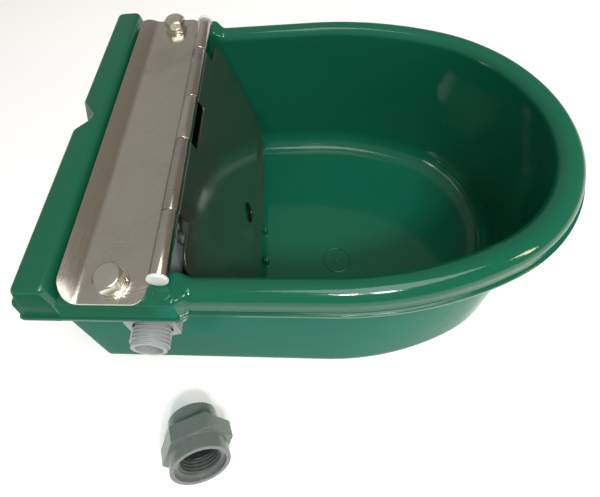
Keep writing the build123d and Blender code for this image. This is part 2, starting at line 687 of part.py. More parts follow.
# ------------------------------------------------------------------ adapter
adapter_level = Vector(cos(radians(ADAPTER_TURN)), sin(radians(ADAPTER_TURN)), 0)
adapter_ahead = Vector(adapter_level.Y, -adapter_level.X, 0)
adapter_axis = (
    adapter_ahead * cos(radians(ADAPTER_TILT)) + Vector(0, 0, 1) * sin(radians(ADAPTER_TILT)))


def adapter_plane(depth):
    """Plane across the adapter, at a depth behind its mouth, with x level."""
    centre = Vector(ADAPTER_X, ADAPTER_Y, ADAPTER_Z) - adapter_axis * depth
    return Plane(origin=centre, x_dir=adapter_level, z_dir=adapter_axis)


def ring_on_adapter(radius, start, end, mode=Mode.ADD):
    """Cylinder along the adapter's axis between two depths, added to the part being built."""
    with BuildSketch(adapter_plane(end)) as disc:
        Circle(radius)
    extrude(disc.sketch, amount=end - start, mode=mode)


with BuildPart() as adapter:
    ring_on_adapter(17.0, 0, 13)
    ring_on_adapter(14.5, 13, ADAPTER_LENGTH)
    with BuildSketch(adapter_plane(17)):
        RegularPolygon(ADAPTER_FLATS / 2, 6, major_radius=False)
    extrude(amount=9)
    ring_on_adapter(14.4, 0, 2.5, Mode.SUBTRACT)
    ring_on_adapter(HOSE_RADIUS, 2.5, 11, Mode.SUBTRACT)
    ring_on_adapter(SEAL_SEAT_RADIUS, 11, 13, Mode.SUBTRACT)
    ring_on_adapter(HALF_INCH_RADIUS, 13, ADAPTER_LENGTH, Mode.SUBTRACT)
finish(adapter, "hose_adapter")

with BuildPart() as adapter_seal:
    ring_on_adapter(SEAL_SEAT_RADIUS, 11, 13)
    ring_on_adapter(HALF_INCH_RADIUS + 0.5, 11, 13, Mode.SUBTRACT)
finish(adapter_seal, "adapter_seal")
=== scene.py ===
"""Looks for the livestock drinking bowl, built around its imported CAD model."""

from math import atan2, cos, degrees, hypot, pi, radians, sin, tan

import bmesh
import bpy
from mathutils import Matrix, Vector


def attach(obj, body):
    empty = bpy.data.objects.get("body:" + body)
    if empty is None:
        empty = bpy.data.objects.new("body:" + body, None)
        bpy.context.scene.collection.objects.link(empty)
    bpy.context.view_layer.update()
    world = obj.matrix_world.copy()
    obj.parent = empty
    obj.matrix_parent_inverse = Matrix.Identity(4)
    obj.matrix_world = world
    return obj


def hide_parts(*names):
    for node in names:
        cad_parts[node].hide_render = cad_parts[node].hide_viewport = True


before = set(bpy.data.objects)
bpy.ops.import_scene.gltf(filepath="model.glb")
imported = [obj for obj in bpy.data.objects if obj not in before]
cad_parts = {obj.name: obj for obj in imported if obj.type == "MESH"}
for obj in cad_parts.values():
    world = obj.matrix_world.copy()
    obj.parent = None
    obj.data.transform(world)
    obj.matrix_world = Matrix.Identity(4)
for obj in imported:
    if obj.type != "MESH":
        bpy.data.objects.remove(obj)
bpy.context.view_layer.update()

MM = 0.001
SAME_POINT = 2e-6
SAME_PLANE = radians(1.0)

# Bowl, in millimetres: x runs from the wall side to the nose, y from the near side to the far side
RIM_HALF = 107.0
NOSE_RADIUS = 97.0
FRONT_X = 140.0
BACK_X = -150.0
INNER_BACK_X = -143.5
OUTER_BACK_X = -148.0
ROLL_RADIUS = 7.0
ROLL_Z = 116.5
LIP_Z = 110.0
BEAD_RADIUS = 0.55
WALL_TOP_Z = 118.5
LEDGE_Z = 126.0
RAIL_Z = 137.6
WALL_OUT = 11.0
WALL_IN = 16.0
FLOOR_Z = 4.0

NOSE_X = FRONT_X - NOSE_RADIUS
SIDE_RADIUS = (NOSE_X**2 + RIM_HALF**2 - NOSE_RADIUS**2) / (2 * (RIM_HALF - NOSE_RADIUS))
SIDE_CENTRE = SIDE_RADIUS - RIM_HALF
SIDE_TURN = degrees(atan2(NOSE_X, SIDE_CENTRE))

# Sheet metal and the hinge
HINGE = Vector((-77.5, 0, 130.7))
HINGE_HALF = 97.3
OUTER_JOINT = 63.7
INNER_JOINT = 16.9
JOINT_GAP = 0.35
BARREL = 4.7
BORE = 3.7
SHEET = 1.2
SHEET_ROUNDING = 0.3
FLAP_LEAN = radians(16)
FLAP_DOWN = Vector((sin(FLAP_LEAN), 0, -cos(FLAP_LEAN)))
FLAP_OUT = Vector((cos(FLAP_LEAN), 0, sin(FLAP_LEAN)))
FLAP_MIDDLE = 4.1
FLAP_REST = 3.1

# M8 bolts
BOLT_X = -99.7
BOLT_Y = 98.1
BOLT_SEGMENTS = 72
FLATS = 13.0
SHANK = 4.0
SHANK_END_Z = 113.5
HEAD_HEIGHT = 5.3
FLAT_WASHER = 1.6
SPRING_WASHER = 2.0

# Valve and adapter
VALVE_X = -90.0
VALVE_Z = 88.0
THREAD_START = 105.4
THREAD_CREST = 10.48
PITCH = 1.814
ADAPTER = Vector((-71.0, -157.3, 22.61))
ADAPTER_TURN = radians(22.4)
ADAPTER_TILT = radians(19.3)
ADAPTER_AXIS = Vector((sin(ADAPTER_TURN) * cos(ADAPTER_TILT),
                       -cos(ADAPTER_TURN) * cos(ADAPTER_TILT), sin(ADAPTER_TILT)))


# ---------------------------------------------------------------- mesh helpers
def in_scene(name, data):
    """New object in the scene for a mesh, light or camera."""
    made = bpy.data.objects.new(name, data)
    bpy.context.scene.collection.objects.link(made)
    return made


def shade(mesh, angle):
    """Smooth shading, with edges sharper than an angle in degrees left hard."""
    mesh.polygons.foreach_set("use_smooth", [True] * len(mesh.polygons))
    mesh.set_sharp_from_angle(angle=radians(angle))


def finish_mesh(name, mesh, body, material, replaces=(), angle=40):
    """Make an object from a mesh that is in metres, and tell the frame about it."""
    piece = in_scene(name, mesh)
    shade(mesh, angle)
    mesh.materials.clear()
    mesh.materials.append(material)
    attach(piece, body)
    if replaces:
        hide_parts(*replaces)
    return piece


def mesh_from(name, shapes, merge=0.0):
    """One mesh in metres from a list of (vertices in mm, faces), normals outwards."""
    build = bmesh.new()
    for points, faces in shapes:
        made = [build.verts.new(Vector(p) * MM) for p in points]
        for face in faces:
            corners = [made[i] for i in face]
            if len(set(corners)) > 2:
                try:
                    build.faces.new(corners)
                except ValueError:
                    pass
    if merge:
        bmesh.ops.remove_doubles(build, verts=build.verts, dist=merge * MM)
    bmesh.ops.recalc_face_normals(build, faces=build.faces)
    mesh = bpy.data.meshes.new(name)
    build.to_mesh(mesh)
    build.free()
    return mesh


def joined(name, meshes):
    """One mesh that holds all the given ones."""
    build = bmesh.new()
    for mesh in meshes:
        build.from_mesh(mesh)
    together = bpy.data.meshes.new(name)
    build.to_mesh(together)
    build.free()
    return together


def with_modifiers(piece):
    """The piece's mesh with its modifiers applied."""
    evaluated = piece.evaluated_get(bpy.context.evaluated_depsgraph_get())
    return bpy.data.meshes.new_from_object(evaluated)


def add_bevel(piece, width, segments, angle):
    """Round the edges that are sharper than an angle in degrees; the width is in mm."""
    bevel = piece.modifiers.new("bevel", "BEVEL")
    bevel.width = width * MM
    bevel.segments = segments
    bevel.limit_method = "ANGLE"
    bevel.angle_limit = radians(angle)
    return bevel


def cut(piece, tool):
    """Take the tool away from the piece for good."""
    boolean = piece.modifiers.new("cut", "BOOLEAN")
    boolean.object = tool
    boolean.operation = "DIFFERENCE"
    boolean.solver = "EXACT"
    mesh = with_modifiers(piece)
    mesh.validate()
    piece.modifiers.clear()
    piece.data = mesh
    shade(mesh, 40)
    bpy.data.objects.remove(tool)


def loft(rings, closed=True, cap_start=False, cap_end=False, loop=False):
    """Skin a list of rings of equal length."""
    count = len(rings[0])
    points = [p for ring in rings for p in ring]
    faces = []
    last = len(rings) if loop else len(rings) - 1
    for i in range(last):
        a = i * count
        b = ((i + 1) % len(rings)) * count
        for j in range(count if closed else count - 1):
            k = (j + 1) % count
            faces.append((a + j, a + k, b + k, b + j))
    if cap_start:
        faces.append(tuple(reversed(range(count))))
    if cap_end:
        faces.append(tuple(range(len(points) - count, len(points))))
    return points, faces


def axis_frame(origin, axis):
    """Matrix whose z runs along axis from origin."""
    z = Vector(axis).normalized()
    x = z.orthogonal().normalized()
    y = z.cross(x)
    turn = Matrix((x, y, z)).transposed().to_4x4()
    return Matrix.Translation(Vector(origin)) @ turn


def lathe(profile, place, segments, closed_profile=False):
    """Turn a list of (radius, height) about the z of a placement."""
    rings = []
    for radius, height in profile:
        ring = []
        for i in range(segments):
            a = 2 * pi * i / segments
            ring.append(place @ Vector((radius * cos(a), radius * sin(a), height)))
        rings.append(ring)
    ends = not closed_profile
    return loft(rings, cap_start=ends and profile[0][0] > 0.01,
                cap_end=ends and profile[-1][0] > 0.01, loop=closed_profile)


def arc(centre, radius, start, end, steps):
    """Points on an arc, angles in degrees."""
    points = []
    for i in range(steps + 1):
        a = radians(start + (end - start) * i / steps)
        points.append((centre[0] + radius * cos(a), centre[1] + radius * sin(a)))
    return points


def ease(t):
    t = min(max(t, 0.0), 1.0)
    return t * t * (3 - 2 * t)


def spread(start, end, step):
    """Values from start to end about a step apart, both ends included."""
    count = max(1, round(abs(end - start) / step))
    return [start + (end - start) * i / count for i in range(count + 1)]


def softened_copy(node, width, material, body, segments=2):
    """Copy of a CAD node with rounded edges, which stands for the node."""
    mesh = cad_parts[node].data.copy()
    if "custom_normal" in mesh.attributes:
        mesh.attributes.remove(mesh.attributes["custom_normal"])
    build = bmesh.new()
    build.from_mesh(mesh)
    bmesh.ops.remove_doubles(build, verts=build.verts, dist=SAME_POINT)
    bmesh.ops.dissolve_limit(build, angle_limit=SAME_PLANE, verts=build.verts, edges=build.edges)
    build.to_mesh(mesh)
    build.free()
    piece = finish_mesh(node + "_visual", mesh, body, material, (node,))
    bevel = add_bevel(piece, width, segments, 30)
    bevel.use_clamp_overlap = True
    bevel.harden_normals = True
    return piece


# ---------------------------------------------------------------- materials
class Nodes:
    """Small helper to build a material's node tree."""

    def __init__(self, name):
        self.material = bpy.data.materials.new(name)
        self.material.use_nodes = True
        self.tree = self.material.node_tree
        self.tree.nodes.clear()
        out = self.add("ShaderNodeOutputMaterial")
        self.shader = self.add("ShaderNodeBsdfPrincipled")
        self.tree.links.new(self.shader.outputs["BSDF"], out.inputs["Surface"])
        self.where = self.add("ShaderNodeTexCoord").outputs["Object"]

    def add(self, kind, **settings):
        node = self.tree.nodes.new(kind)
        for key, value in settings.items():
            setattr(node, key, value)
        return node

    def place(self, scale, turn=(0, 0, 0)):
        """Object coordinates, stretched and turned."""
        mapping = self.add("ShaderNodeMapping")
        mapping.inputs["Scale"].default_value = scale
        mapping.inputs["Rotation"].default_value = turn
        self.tree.links.new(self.where, mapping.inputs["Vector"])
        return mapping.outputs["Vector"]

    def split(self):
        """Outputs X, Y and Z of the object coordinates, in metres."""
        node = self.add("ShaderNodeSeparateXYZ")
        self.tree.links.new(self.where, node.inputs["Vector"])
        return node.outputs

    def noise(self, scale, detail, rough, place=None, distortion=0.0):
        node = self.add("ShaderNodeTexNoise")
        node.inputs["Scale"].default_value = scale
        node.inputs["Detail"].default_value = detail
        node.inputs["Roughness"].default_value = rough
        node.inputs["Distortion"].default_value = distortion
        where = self.where if place is None else place
        self.tree.links.new(where, node.inputs["Vector"])
        return node.outputs["Fac"]

    def remap(self, value, low, high, to_low=0.0, to_high=1.0, smooth=False):
        """The value with low..high turned into to_low..to_high, and held beyond them."""
        node = self.add("ShaderNodeMapRange")
        if smooth:
            node.interpolation_type = "SMOOTHSTEP"
        node.inputs["From Min"].default_value = low
        node.inputs["From Max"].default_value = high
        node.inputs["To Min"].default_value = to_low
        node.inputs["To Max"].default_value = to_high
        self.tree.links.new(value, node.inputs["Value"])
        return node.outputs[0]

    def feed(self, socket, value):
        """Set a socket to a number or a colour, or link another node's output to it."""
        if isinstance(value, (int, float)):
            socket.default_value = value
        elif isinstance(value, tuple):
            socket.default_value = (*value, 1.0)
        else:
            self.tree.links.new(value, socket)

    def math(self, operation, a, b=0.5):
        node = self.add("ShaderNodeMath", operation=operation)
        self.feed(node.inputs[0], a)
        self.feed(node.inputs[1], b)
        return node.outputs[0]

    def mix(self, factor, a, b):
        node = self.add("ShaderNodeMix", data_type="RGBA")
        self.feed(node.inputs[0], factor)
        self.feed(node.inputs[6], a)
        self.feed(node.inputs[7], b)
        return node.outputs[2]

    def set(self, **values):
        for key, value in values.items():
            self.shader.inputs[key.replace("_", " ")].default_value = value

    def colour(self, output):
        self.tree.links.new(output, self.shader.inputs["Base Color"])

    def roughness(self, output):
        self.tree.links.new(output, self.shader.inputs["Roughness"])

    def bump(self, height, strength, distance, previous=None):
        node = self.add("ShaderNodeBump")
        node.inputs["Strength"].default_value = strength
        node.inputs["Distance"].default_value = distance
        self.tree.links.new(height, node.inputs["Height"])
        if previous is not None:
            self.tree.links.new(previous, node.inputs["Normal"])
        self.tree.links.new(node.outputs[0], self.shader.inputs["Normal"])
        return node.outputs[0]


def bowl_plastic(name, gloss, dark, light):
    """Green moulding with a faint grain; the rail is darker, and it and the ledge are duller."""
    m = Nodes(name)
    broad = m.noise(14, 3, 0.6)
    axes = m.split()
    upper = m.remap(axes["Z"], 0.1, 0.124, smooth=True)
    back = m.remap(axes["X"], -0.07, -0.085, smooth=True)
    base = m.mix(broad, dark, light)
    rail = m.mix(m.math("MULTIPLY", upper, back), base, (0.006, 0.1, 0.052))
    speck = m.remap(m.noise(2600, 2, 0.6), 0.64, 0.76, 0.0, 0.18)
    m.colour(m.mix(speck, rail, (0.02, 0.23, 0.15)))
    rough = m.remap(broad, 0.3, 0.7, 0.06, 0.11)
    m.roughness(m.math("ADD", rough, m.math("MULTIPLY", back, 0.16)))
    fine = m.bump(m.noise(900, 2, 0.5), 0.06, 0.0003)
    m.bump(m.noise(55, 2, 0.5), 0.07, 0.002, fine)
    m.set(Specular_IOR_Level=gloss)
    return m.material


def sheet_steel(name, colour, dark, rough_low, rough_high, waves, metallic=1.0):
    """Stainless sheet with faint rolling lines and fine scratches; its dark patches are painted
    reflection, and they also roughen it like smudges.
    """
    m = Nodes(name)
    grain = m.noise(60, 4, 0.6, m.place((60, 1.2, 60)))
    scratch = m.remap(m.noise(90, 2, 0.5, m.place((3, 46, 8), (0.1, 0.2, 0.5))), 0.63, 0.67)
    smudge_and_reflection = m.remap(m.noise(26, 4, 0.65, None, 0.6), 0.48, 0.7, 0.0, 0.7, True)
    tone = m.mix(grain, colour, dark)
    # painted reflection: dark patches in the colour
    painted_reflection_tone = m.mix(smudge_and_reflection, tone, tuple(c * 0.72 for c in colour))
    m.colour(m.mix(m.math("MULTIPLY", scratch, 0.6), painted_reflection_tone, (0.8, 0.79, 0.76)))
    rough = m.remap(grain, 0.3, 0.7, rough_low, rough_high)
    m.roughness(m.math("ADD", rough, m.math("MULTIPLY", smudge_and_reflection, 0.12)))
    lines = m.bump(grain, 0.05, 0.0003)
    m.bump(m.noise(18, 1, 0.4), waves, 0.004, lines)
    m.set(Metallic=metallic)
    return m.material


def plain_metal(name, colour, rough, grain_scale, bump):
    """Plated or bare metal with a fine grain and slightly uneven colour."""
    m = Nodes(name)
    grain = m.noise(grain_scale, 3, 0.6)
    patch = m.noise(120, 3, 0.6)
    m.colour(m.mix(patch, tuple(c * 0.8 for c in colour), colour))
    m.roughness(m.remap(grain, 0.3, 0.7, rough * 0.75, rough * 1.3))
    m.bump(grain, bump, 0.0003)
    m.set(Metallic=1.0)
    return m.material


def moulded(name, colour, rough, bump=0.15, coat=0.0):
    """Plain moulded plastic with a fine grain and slightly uneven colour."""
    m = Nodes(name)
    patch = m.noise(90, 3, 0.6)
    dark = tuple(c * 0.86 for c in colour)
    light = tuple(min(c * 1.1, 1) for c in colour)
    m.colour(m.mix(patch, dark, light))
    m.roughness(m.remap(patch, 0.3, 0.7, rough * 0.85, rough * 1.15))
    m.bump(m.noise(1500, 2, 0.5), bump, 0.0003)
    m.set(Coat_Weight=coat, Coat_Roughness=0.15)
    return m.material


def grooved_plastic():
    """The valve's plastic, with painted shade deep in the thread."""
    m = Nodes("valve_thread")
    axes = m.split()
    across = m.math("SUBTRACT", axes["X"], VALVE_X * MM)
    height = m.math("SUBTRACT", axes["Z"], VALVE_Z * MM)
    square = m.math("ADD", m.math("POWER", across, 2.0), m.math("POWER", height, 2.0))
    ridge = m.remap(m.math("SQRT", square), 0.0089, 0.0101)
    patch = m.noise(90, 3, 0.6)
    light = m.mix(patch, (0.36, 0.39, 0.405), (0.44, 0.47, 0.49))
    # painted shade: near black in the valleys of the thread, grey on its ridges
    m.colour(m.mix(ridge, (0.05, 0.052, 0.055), light))
    m.roughness(m.remap(patch, 0.3, 0.7, 0.3, 0.42))
    m.bump(m.noise(1500, 2, 0.5), 0.15, 0.0003)
    return m.material


# one green in two copies: a darker one as painted shade for the inside of the bowl and the rest, a
# lighter one as painted light for the outer walls
GREEN_SHADED = bowl_plastic("bowl_plastic", 0.4, (0.004, 0.095, 0.052), (0.006, 0.118, 0.067))
GREEN_OUTSIDE_LIT = bowl_plastic("bowl_plastic_outside_lit", 0.01,
                             (0.006, 0.14, 0.09), (0.009, 0.17, 0.115))
COVER_STEEL = sheet_steel("cover_steel", (0.66, 0.63, 0.56), (0.55, 0.52, 0.46), 0.16, 0.26, 0.12)
FLAP_STEEL = sheet_steel("flap_steel", (0.5, 0.46, 0.42), (0.42, 0.39, 0.36), 0.08, 0.16, 0.16,
                         0.95)
ZINC = plain_metal("zinc", (0.8, 0.77, 0.66), 0.2, 300.0, 0.03)
BRASS = plain_metal("brass", (0.72, 0.52, 0.22), 0.28, 900.0, 0.12)
PIN_WHITE = moulded("pin_white", (0.72, 0.78, 0.8), 0.4)
VALVE_GREY = moulded("valve_grey", (0.33, 0.36, 0.375), 0.4)
VALVE_THREAD = grooved_plastic()
# a darker copy of the adapter's grey, as painted shade inside its mouth
ADAPTER_INSIDE_SHADED = moulded("adapter_inside_shaded", (0.075, 0.088, 0.086), 0.35, 0.1)
INNER_WHITE = moulded("inner_white", (0.75, 0.75, 0.72), 0.4)
ADAPTER_GREY = moulded("adapter_grey", (0.145, 0.17, 0.165), 0.28, 0.1, 0.15)
RUBBER = moulded("black_rubber", (0.02, 0.02, 0.02), 0.7, 0.4)
FLOAT_BLACK = moulded("float_black", (0.03, 0.03, 0.033), 0.45)

CARRIED = {
    "cover_plate": COVER_STEEL, "flap": FLAP_STEEL, "hinge_pin": PIN_WHITE,
    "cover_bolt_near": ZINC, "cover_bolt_far": ZINC,
    "spring_washer_near": ZINC, "spring_washer_far": ZINC,
    "flat_washer_near": ZINC, "flat_washer_far": ZINC,
    "captive_nut_near": ZINC, "captive_nut_far": ZINC,
    "valve_body": VALVE_GREY, "inlet_strainer": INNER_WHITE, "valve_nozzle": INNER_WHITE,
    "inlet_gasket": RUBBER, "lock_nut": VALVE_GREY, "lever_pin": ZINC,
    "plunger": INNER_WHITE, "plunger_seal": RUBBER, "plunger_pin": ZINC,
    "float_lever": INNER_WHITE, "float_rod": BRASS, "float": FLOAT_BLACK, "float_nut": BRASS,
    "hose_adapter": ADAPTER_GREY, "adapter_seal": RUBBER, "bowl_shell": GREEN_SHADED,
}
for node, material in CARRIED.items():
    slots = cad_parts[node].data.materials
    if slots:
        slots[0] = material
    else:
        slots.append(material)


# ---------------------------------------------------------------- bowl
def lip_stations():
    """(point, inward normal) along the lip, from the back of the near side to the far side."""
    xs = spread(-138, -92, 9) + spread(-90, -76, 3.5) + spread(-75, -58, 0.5) + spread(-54, 0, 6)
    near = [((x, -RIM_HALF), (0.0, 1.0)) for x in xs]
    turns = []
    for a in spread(-90, -90 + SIDE_TURN, 0.9)[1:]:
        c, s = cos(radians(a)), sin(radians(a))
        turns.append(((SIDE_RADIUS * c, SIDE_CENTRE + SIDE_RADIUS * s), (-c, -s)))
    nose = []
    for a in spread(SIDE_TURN - 90, 90 - SIDE_TURN, 1.8)[1:-1]:
        c, s = cos(radians(a)), sin(radians(a))
        nose.append(((NOSE_X + NOSE_RADIUS * c, NOSE_RADIUS * s), (-c, -s)))
    half = near + turns
    mirrored = [((p[0], -p[1]), (n[0], -n[1])) for p, n in reversed(half)]
    return half + nose + mirrored


STATIONS = lip_stations()


def bowl_ring(inset, z, back_x, corner):
    """Closed D-shaped ring at an inset from the lip, with rounded corners at its flat back."""
    ring = [(p[0] + n[0] * inset, p[1] + n[1] * inset, z) for p, n in STATIONS]
    half = RIM_HALF - inset
    back = []
    for x, y in arc((back_x + corner, half - corner), corner, 90, 180, 6):
        back.append((x, y, z))
    for k in range(1, 8):
        back.append((back_x, (half - corner) * (1 - k / 4), z))
    for x, y in arc((back_x + corner, -half + corner), corner, 180, 270, 6):
        back.append((x, y, z))
    return ring + back


def bead(inset):
    """Outer half of the bead along the lip, from its top to its foot."""
    points = arc((inset + BEAD_RADIUS, 112.0), BEAD_RADIUS, 75, 180, 4) + [(inset, 111.0)]
    return points + arc((inset + BEAD_RADIUS, LIP_Z + BEAD_RADIUS), BEAD_RADIUS, 180, 270, 3)


def rim_profile():
    """(inset, z) from the inner wall over the roll, round the bead and up to the outer wall."""
    points = arc((WALL_IN - ROLL_RADIUS, ROLL_Z), ROLL_RADIUS, 0, 180, 20)
    points += [(1.85, 115.4), (1.6, 114.4), (1.4, 113.5), (1.8, 112.8)] + bead(0.0)
    points += [(1.6, 110.0), (2.5, 110.2), (2.8, 110.8), (2.8, 113.0), (3.0, 117.2), (4.0, 118.3)]
    points += [(8.0, WALL_TOP_Z), (WALL_OUT, WALL_TOP_Z)]
    return points


def ledge_profile():
    """As many points for the ledge, which has a flat top and a leaning skirt."""
    inner_edge, outer_edge = 2.4, 2.9
    points = arc((WALL_IN - inner_edge, LEDGE_Z - inner_edge), inner_edge, 0, 90, 6)
    points[0] = (WALL_IN, ROLL_Z)
    points += [(11.0, LEDGE_Z), (8.0, LEDGE_Z), (5.0, LEDGE_Z), (3.6, LEDGE_Z)]
    points += arc((1.9, LEDGE_Z - outer_edge), outer_edge, 90, 187, 9)
    points += [(-1.3, 120.0), (-1.6, 117.5), (-2.1, 113.6), (-1.5, 112.8)] + bead(-3.0)
    points += [(-1.4, 110.0), (-0.5, 110.2), (-0.2, 110.8), (0.1, 113.0), (0.9, 121.5)]
    points += [(1.6, 122.6), (8.0, 123.0), (WALL_OUT, WALL_TOP_Z)]
    return points


def lip_band():
    """Rim, ledge and lip: the profile carried along the stations, from one end to the other."""
    rim, ledge = rim_profile(), ledge_profile()
    assert len(rim) == len(ledge)
    tail = [((x, -RIM_HALF), (0.0, 1.0)) for x in (-147.0, -144.0, -141.0)]
    far_tail = [((p[0], -p[1]), (0.0, -1.0)) for p, _ in reversed(tail)]
    band = []
    for p, n in tail + STATIONS + far_tail:
        flat = 1 - ease((p[0] + 72.0) / 8.0)
        ring = []
        for (a, za), (b, zb) in zip(rim, ledge):
            inset = a + (b - a) * flat
            ring.append((p[0] + n[0] * inset, p[1] + n[1] * inset, za + (zb - za) * flat))
        band.append(ring)
    return band


def bowl_shapes():
    band = lip_band()
    shapes = [loft(band, closed=False)]

    floor_round, foot_round = 16.0, 4.0
    inner = [(WALL_IN, ROLL_Z), (WALL_IN + 0.25, 100), (WALL_IN + 0.7, 70), (WALL_IN + 1.1, 45),
             (WALL_IN + 1.5, 20)]
    for a in (75, 60, 45, 30, 15, 0):
        inner.append((33.5 - floor_round * sin(radians(a)), 20 - floor_round * cos(radians(a))))
    inner += [(45, FLOOR_Z), (60, FLOOR_Z - 0.2)]
    rings = [bowl_ring(inset, z, INNER_BACK_X + (inset - WALL_IN), 5.0) for inset, z in inner]
    shapes.append(loft(rings, cap_end=True))

    outer = [(WALL_OUT, z) for z in (WALL_TOP_Z, 90, 60, 30, 8)]
    for a in (0, 18, 36, 54, 72, 90):
        outer.append((WALL_OUT + foot_round * (1 - cos(radians(a))),
                      foot_round * (1 - sin(radians(a)))))
    outer += [(22, 0.0), (24, 1.0), (60, 1.0)]
    rings = []
    for inset, z in outer:
        beyond = inset - WALL_OUT
        rings.append(bowl_ring(inset, z, OUTER_BACK_X + beyond, max(4.0 - beyond, 0.6)))
    shapes.append(loft(rings, cap_end=True))

    # top of the back wall, and the two ends of the band, which the rail covers
    last = len(STATIONS) - 1
    top_in = bowl_ring(WALL_IN, ROLL_Z, INNER_BACK_X, 5.0)
    top_out = bowl_ring(WALL_OUT, WALL_TOP_Z, OUTER_BACK_X, 4.0)
    shapes.append(loft([ring[last:] + ring[:1] for ring in (top_in, top_out)], closed=False))
    for ring in (band[0], band[-1]):
        shapes.append((ring, [tuple(range(len(ring)))]))
    return shapes


# (place along the rail, depth) of the notch in the rail's back edge
NOTCH = [(-10.5, 0.0), (-9.5, 0.5), (-3.5, 6.2), (-1.5, 7.5), (1.0, 8.0), (3.5, 8.0), (4.6, 7.4),
         (13.2, 0.5), (14.2, 0.0)]


def rail_ring(z, grow, inset):
    """Rounded outline of the rail at a height; its back and ends lean in above the lip."""
    rise = max(z - 112.9, 0.0)
    back = BACK_X + 0.78 + 0.272 * rise - grow + inset
    front = BACK_X + 25.2 - 0.17 * max(z - LEDGE_Z, 0.0) - inset
    half = 109.22 - 0.0885 * rise + grow - inset
    r = 3.0
    ring = arc((front - r, -half + r), r, 0, -90, 6) + arc((back + r, -half + r), r, -90, -180, 6)
    ring += [(back + depth, y) for y, depth in NOTCH]
    ring += arc((back + r, half - r), r, 180, 90, 6) + arc((front - r, half - r), r, 90, 0, 6)
    return [(x, y, z) for x, y in ring]


def rail_shape():
    """Back rail, from the lip at its foot to its rounded top."""
    rings = [rail_ring(LIP_Z, -0.2, 0), rail_ring(110.1, 0.4, 0), rail_ring(110.5, 0.78, 0),
             rail_ring(111.5, 0.78, 0), rail_ring(111.9, 0.5, 0), rail_ring(112.3, -0.2, 0),
             rail_ring(112.8, -0.6, 0)]
    rings += [rail_ring(z, 0, 0) for z in (113.6, 125.0, LEDGE_Z, 135.2)]
    top_round = 2.4
    for a in spread(0, 90, 15)[1:]:
        z = RAIL_Z - top_round * (1 - sin(radians(a)))
        rings.append(rail_ring(z, 0, top_round * (1 - cos(radians(a)))))
    return loft(rings, cap_start=True, cap_end=True)


def at(x, y):
    """Upright placement over a point of the floor."""
    return Matrix.Translation((x, y, 0))


def small_details():
    """Posts and ring on the floor, pads on the ledge, bosses under it, ribs behind the flap."""
    shapes = []
    post = [(2.6, 3.5), (2.3, 4.3), (2.1, 9.2)] + arc((1.3, 9.4), 0.8, 10, 90, 4) + [(0.01, 10.3)]
    for x, y in ((-40.5, -3.5), (-39.0, -29.0)):
        shapes.append(lathe(post, at(x, y), 24))
    ring = [(8.7, 3.8), (8.9, 4.25), (9.3, 4.4), (9.7, 4.25), (9.9, 3.8)]
    shapes.append(lathe(ring, at(13.0, -27.0), 72, True))
    dot = [(1.4, 3.8), (1.2, 4.3), (0.7, 4.45), (0.01, 4.45)]
    shapes.append(lathe(dot, at(13.0, -27.0), 20))
    pad = [(4.4, 125.6), (4.3, 126.3), (3.9, 126.5), (0.01, 126.5)]
    boss = [(8.7, 123.2), (8.7, 112.5), (8.2, 112.0), (7.5, 112.0), (7.5, 123.2)]
    edge = HINGE.x + FLAP_REST / cos(FLAP_LEAN)
    for side in (-1, 1):
        shapes.append(lathe(pad, at(-76.0, side * 101.8), 36))
        shapes.append(lathe(boss, at(BOLT_X, side * BOLT_Y), 40, True))
        outer_y, inner_y = side * 92.0, side * 85.0
        rings = []
        for z in spread(45, 105, 10):
            front = edge + tan(FLAP_LEAN) * (HINGE.z - z)
            rings.append([(front, outer_y, z), (front, inner_y, z),
                          (front - 5.5, inner_y, z), (front - 6.0, outer_y, z)])
        shapes.append(loft(rings, cap_start=True, cap_end=True))
    return shapes


whole = in_scene("whole", mesh_from("whole", bowl_shapes(), 0.01))
wall_holes = [lathe([(4.25, -9.0), (4.25, 6.0)], axis_frame((-146.0, y, 104.0), (1, 0, 0)), 40)
              for y in (-75.0, 75.0)]
cut(whole, in_scene("drills", mesh_from("drills", wall_holes)))
extras = mesh_from("extras", [rail_shape()] + small_details())
shell = joined("bowl_shell_visual", [whole.data, extras])
bpy.data.objects.remove(whole)
bowl = finish_mesh("bowl_shell_visual", shell, "bowl", GREEN_SHADED, ("bowl_shell",), 42)

# the lower walls and the skirt, seen from outside, get the lighter copy of the green as painted
# light, and hardly reflect; the rest keeps the darker copy as painted shade
bowl.data.materials.append(GREEN_OUTSIDE_LIT)
for face in bowl.data.polygons:
    centre, normal = face.center, face.normal
    outward = (centre.x * normal.x + centre.y * normal.y) / hypot(centre.x, centre.y)
    wall = centre.z < 0.1098
    skirt = centre.x < -0.066 and 0.1125 < centre.z < 0.1365 and abs(normal.z) < 0.4
    if outward > 0.5 and (wall or skirt):
        face.material_index = 1


# ---------------------------------------------------------------- sheet metal
def sheet_from_outline(name, outline, cuts, bent):
    """Sheet metal: a flat outline, divided along straight lines, bent, then given thickness."""
    build = bmesh.new()
    corners = [build.verts.new((x * MM, y * MM, 0)) for x, y in outline]
    build.faces.new(corners)
    for position, normal in cuts:
        bmesh.ops.bisect_plane(
            build, geom=build.verts[:] + build.edges[:] + build.faces[:], dist=1e-7,
            plane_co=Vector(position) * MM, plane_no=Vector(normal))
    bmesh.ops.recalc_face_normals(build, faces=build.faces)
    for vert in build.verts:
        vert.co = Vector(bent(vert.co.x / MM, vert.co.y / MM)) * MM
    mesh = bpy.data.meshes.new(name)
    build.to_mesh(mesh)
    build.free()
    piece = in_scene(name, mesh)
    solid = piece.modifiers.new("thickness", "SOLIDIFY")
    solid.thickness = SHEET * MM
    solid.offset = 0
    solid.use_even_offset = True
    add_bevel(piece, SHEET_ROUNDING, 3, 50)
    made = with_modifiers(piece)
    bpy.data.objects.remove(piece)
    return made


